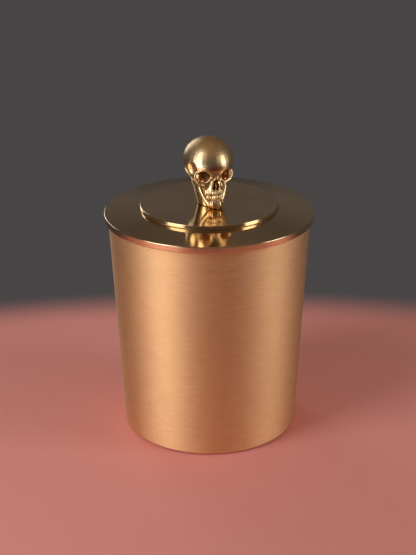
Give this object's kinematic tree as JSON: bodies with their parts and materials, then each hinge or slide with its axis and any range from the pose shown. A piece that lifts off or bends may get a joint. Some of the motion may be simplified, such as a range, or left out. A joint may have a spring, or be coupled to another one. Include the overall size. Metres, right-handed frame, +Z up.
{
  "type": "skull candle holder",
  "caption": "Tapered brushed metal candle vessel with a stepped polished lid that carries a small cast skull as its knob.",
  "frame": {"origin": "on the vessel's axis, on the surface that the holder stands on", "axes": "+Z up along the vessel's axis, -Y is the way the skull looks, +X is to the right of someone facing the skull"},
  "size_m": [0.095, 0.095, 0.1383],
  "materials": {
    "brushed_brass": "fine brushing round the wall, satin",
    "polished_brass": "turned and polished",
    "cast_brass": "cast, polished, a little pitted on the crown",
    "felt": "matt",
    "wax": "poured wax, satin",
    "cotton": "braided cotton, waxed",
    "steel": "zinc plated",
    "silicone": "clear silicone, satin"
  },
  "bodies": {
    "root": {"vessel": "brushed_brass", "base_pad": "felt", "candle_wax": "wax", "wick": "cotton", "wick_tab": "steel", "lid": "polished_brass", "lid_seal": "silicone", "skull_finial": "cast_brass", "finial_screw": "steel", "finial_washer": "steel"}
  },
  "joints": []
}
